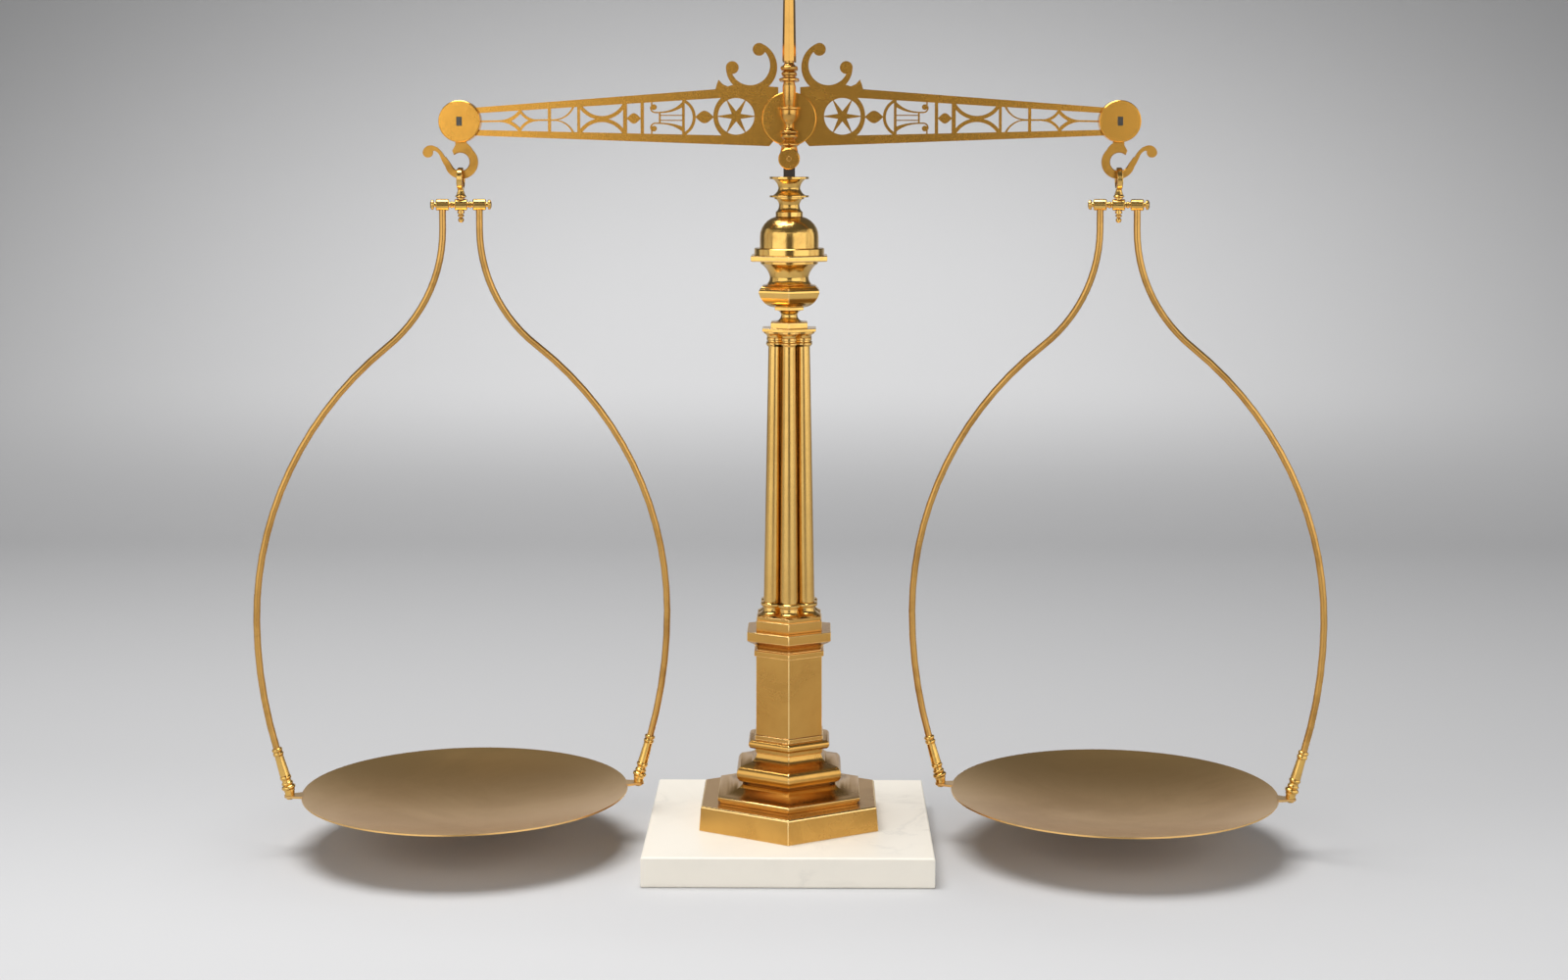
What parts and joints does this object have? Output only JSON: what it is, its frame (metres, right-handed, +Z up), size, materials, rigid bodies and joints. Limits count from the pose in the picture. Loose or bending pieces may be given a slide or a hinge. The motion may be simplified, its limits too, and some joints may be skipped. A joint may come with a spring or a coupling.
{
  "type": "balance scale",
  "caption": "Brass counter balance: a pierced beam on knife edges over a hexagonal column and marble slab, with round pans hung from hooks on bowed rods.",
  "frame": {"origin": "on the column's axis, at the underside of the marble slab", "axes": "+X along the beam to the right, +Y to the rear, +Z up the column"},
  "size_m": [0.9936, 0.3048, 0.9228],
  "materials": {
    "marble": "honed",
    "polished_brass": "polished",
    "satin_brass": "satin",
    "pan_brass": "satin, tarnished",
    "steel": "satin"
  },
  "bodies": {
    "stand": {"marble_slab": "marble", "plinth": "polished_brass", "stepped_foot": "polished_brass", "pedestal_base": "polished_brass", "pedestal_die": "polished_brass", "pedestal_cap": "polished_brass", "column_seat": "polished_brass", "cluster_base": "polished_brass", "colonnette_1": "polished_brass", "colonnette_2": "polished_brass", "colonnette_3": "polished_brass", "colonnette_4": "polished_brass", "colonnette_5": "polished_brass", "colonnette_6": "polished_brass", "column_core": "polished_brass", "cluster_capital": "polished_brass", "abacus": "polished_brass", "lower_neck": "polished_brass", "bowl": "polished_brass", "upper_neck": "polished_brass", "cornice": "polished_brass", "dome_plate": "polished_brass", "dome": "polished_brass", "spool": "polished_brass", "tie_rod": "steel", "tie_nut": "polished_brass", "yoke_barrel": "polished_brass", "yoke_screws": "polished_brass", "front_upright": "polished_brass", "rear_upright": "polished_brass", "knife_bearings": "steel", "top_bridge": "polished_brass"},
    "beam": {"beam_plate": "satin_brass", "front_centre_disc": "satin_brass", "rear_centre_disc": "satin_brass", "centre_knife": "steel", "pointer": "satin_brass", "left_cheeks": "satin_brass", "right_cheeks": "satin_brass", "left_knife": "steel", "right_knife": "steel"},
    "left_hook": {"left_hook": "satin_brass"},
    "left_eye": {"left_eye": "polished_brass", "left_finial_nut": "polished_brass"},
    "left_pan": {"left_crossbar": "polished_brass", "left_inner_rod": "polished_brass", "left_outer_rod": "polished_brass", "left_ferrules": "polished_brass", "left_pan_nuts": "polished_brass", "left_pan": "pan_brass"},
    "right_hook": {"right_hook": "satin_brass"},
    "right_eye": {"right_eye": "polished_brass", "right_finial_nut": "polished_brass"},
    "right_pan": {"right_crossbar": "polished_brass", "right_inner_rod": "polished_brass", "right_outer_rod": "polished_brass", "right_ferrules": "polished_brass", "right_pan_nuts": "polished_brass", "right_pan": "pan_brass"}
  },
  "joints": [
    {"name": "beam_rock", "type": "hinge", "parent": "stand", "child": "beam", "pos_m": [0, 0, 0.6832], "axis": [0, 1, 0], "range_deg": [-3, 3]},
    {"name": "left_hook_swing", "type": "hinge", "parent": "beam", "child": "left_hook", "pos_m": [-0.305, 0, 0.681], "axis": [0, 1, 0], "range_deg": [-3, 6]},
    {"name": "left_eye_swing", "type": "hinge", "parent": "left_hook", "child": "left_eye", "pos_m": [-0.305, 0, 0.6352], "axis": [1, 0, 0], "range_deg": [-8, 8]},
    {"name": "left_pan_swivel", "type": "hinge", "parent": "left_eye", "child": "left_pan", "pos_m": [-0.305, 0, 0.6038], "axis": [0, 0, 1], "continuous": true},
    {"name": "right_hook_swing", "type": "hinge", "parent": "beam", "child": "right_hook", "pos_m": [0.305, 0, 0.681], "axis": [0, 1, 0], "range_deg": [-6, 3]},
    {"name": "right_eye_swing", "type": "hinge", "parent": "right_hook", "child": "right_eye", "pos_m": [0.305, 0, 0.6352], "axis": [1, 0, 0], "range_deg": [-8, 8]},
    {"name": "right_pan_swivel", "type": "hinge", "parent": "right_eye", "child": "right_pan", "pos_m": [0.305, 0, 0.6038], "axis": [0, 0, 1], "continuous": true}
  ]
}
